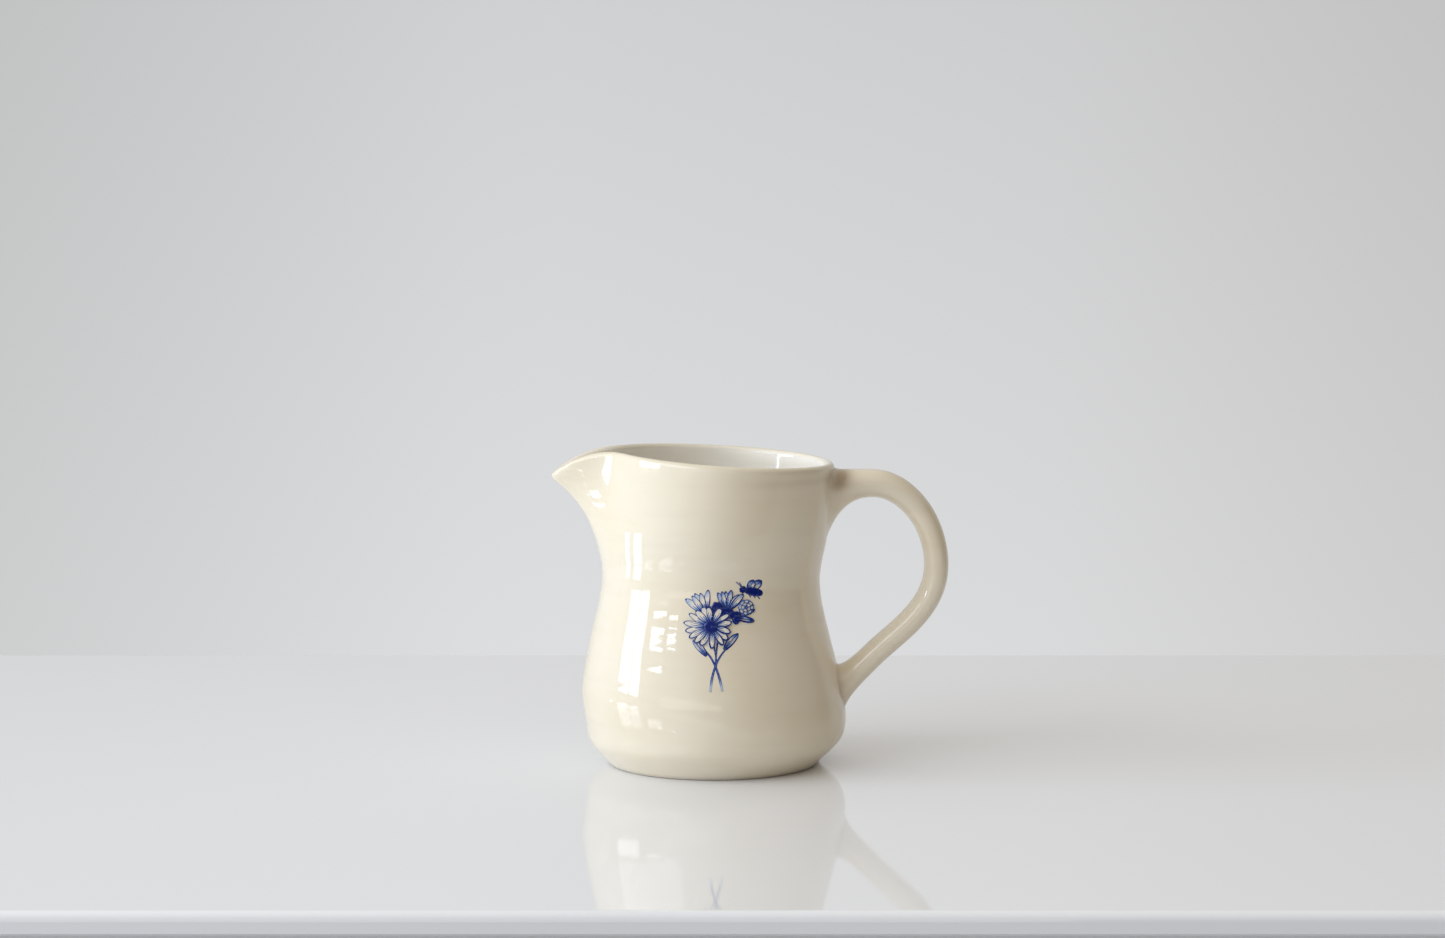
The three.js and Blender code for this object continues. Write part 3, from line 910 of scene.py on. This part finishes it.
# A place on the wall between the front and the spout, in metres.
LIGHT_TARGET = Vector((-0.024, -0.029, 0.05))


def pane(name, turn, rise, distance, radiance, colour):
    """A soft rectangular light that fills a range of directions from the jug.

    turn is measured in degrees from the front towards the spout, rise from level.
    """
    middle_turn, middle_rise = math.radians(sum(turn) / 2), math.radians(sum(rise) / 2)
    wide = 2 * distance * math.tan(math.radians(turn[1] - turn[0]) / 2) * math.cos(middle_rise)
    tall = 2 * distance * math.tan(math.radians(rise[1] - rise[0]) / 2)
    light = bpy.data.lights.new(name, "AREA")
    light.shape = "RECTANGLE"
    light.size, light.size_y = wide, tall
    light.energy = radiance * wide * tall * math.pi
    light.color = colour
    made = bpy.data.objects.new(name, light)
    bpy.context.scene.collection.objects.link(made)
    flat = distance * math.cos(middle_rise)
    x = -flat * math.sin(middle_turn)
    y = -flat * math.cos(middle_turn)
    away = Vector((x, y, distance * math.sin(middle_rise)))
    made.location = LIGHT_TARGET + away
    made.rotation_euler = (-away).to_track_quat("-Z", "Y").to_euler()
    made.visible_camera = False


def room():
    """A pale room: bright on the spout's side, dim and warm on the handle's."""
    world = bpy.data.worlds.new("room")
    world.use_nodes = True
    bpy.context.scene.world = world
    world.node_tree.nodes.clear()
    output = add_node(world, "ShaderNodeOutputWorld")
    background = add_node(world, "ShaderNodeBackground")
    world.node_tree.links.new(background.outputs[0], output.inputs["Surface"])
    direction = add_node(world, "ShaderNodeTexCoord").outputs["Generated"]
    split = add_node(world, "ShaderNodeSeparateXYZ", {0: direction})
    around = add_node(world, "ShaderNodeTexGradient", {0: direction}, gradient_type="RADIAL")
    walls = add_node(world, "ShaderNodeValToRGB", {0: around.outputs["Fac"]})
    ramp_stops(walls, (
        (0.0, (0.68, 0.74, 0.83, 1)),
        (0.125, (0.69, 0.735, 0.81, 1)),
        (0.19, (0.74, 0.74, 0.74, 1)),
        (0.25, (0.28, 0.265, 0.25, 1)),
        (0.33, (0.14, 0.10, 0.05, 1)),
        (0.42, (0.05, 0.036, 0.022, 1)),
        (0.572, (0.06, 0.045, 0.03, 1)),
        (0.602, (0.60, 0.60, 0.60, 1)),
        (0.716, (0.622, 0.622, 0.622, 1)),
        (0.735, (0.70, 0.705, 0.71, 1)),
        (0.76, (0.727, 0.735, 0.75, 1)),
        (0.785, (0.612, 0.617, 0.617, 1)),
        (0.81, (0.62, 0.63, 0.64, 1)),
        (0.90, (0.66, 0.71, 0.79, 1)),
        (1.0, (0.68, 0.74, 0.83, 1)),
    ))
    up = split.outputs[2]
    fall = remap(world, up, {1: -0.16, 2: 0.04, 3: 1.0, 4: 0.865})
    dimmed = mix_colour(world, 1.0, walls.outputs[0], fall)
    dimmed.node.blend_type = "MULTIPLY"
    overhead = remap(world, up, {1: 0.38, 2: 0.72}, interpolation_type="SMOOTHSTEP")
    sky = mix_colour(world, overhead, dimmed, (0.72, 0.665, 0.575, 1))
    world.node_tree.links.new(sky, background.inputs["Color"])


def lights():
    """A tall window beside the spout, in four panes, with a high window above it.

    Two small windows are further off, and a dim warm fill is low in front.
    """
    daylight = (0.88, 0.98, 1.09)
    for turn, rise in (
        ((68, 77.3), (3.2, 18)),
        ((78.8, 91.5), (3.2, 18)),
        ((81.5, 90.5), (-16, -5)),
        ((97.5, 101.5), (-16, -5)),
    ):
        pane("tall_window", turn, rise, 1.7, 8.6, daylight)
    pane("high_window", (30, 98), (24, 44), 1.7, 3.1, daylight)
    pane("low_fill", (-8, 46), (-1, 9), 2.5, 1.05, (1, 0.95, 0.87))
    for turn, rise in (((46, 60), (13.4, 17.2)), ((33, 42), (17.3, 18.8))):
        pane("far_window", turn, rise, 3.6, 11, daylight)


def camera():
    """The photo's angle. Its distance and lens are a choice that suits the perspective."""
    data = bpy.data.cameras.new("camera")
    data.lens = 85
    data.sensor_width = 36
    made = bpy.data.objects.new("camera", data)
    bpy.context.scene.collection.objects.link(made)
    made.location = (0.00304, -1.092, 0.2055)
    made.rotation_euler = (math.radians(90 - 5.77), 0, 0)
    bpy.context.scene.camera = made


# ---------------------------------------------------------------- assembly

glaze = glaze_material()
print_ink = ink_material()

body = jug_body()
upper, strap, lower = handle_pieces()
flowers = bouquet()
insect = bee()
for piece, node, slot, material in (
    (body, "jug_body", "glaze", glaze),
    (strap, "handle", "glaze", glaze),
    (upper, "upper_join_coil", "glaze", glaze),
    (lower, "lower_join_coil", "glaze", glaze),
    (flowers, "bouquet_transfer", "cobalt_ink", print_ink),
    (insect, "bee_transfer", "cobalt_ink", print_ink),
):
    piece.data.materials.append(material)
    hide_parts(node)
    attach(piece, "root")

shelf()
room()
lights()
camera()
bpy.context.scene.view_settings.view_transform = "Standard"
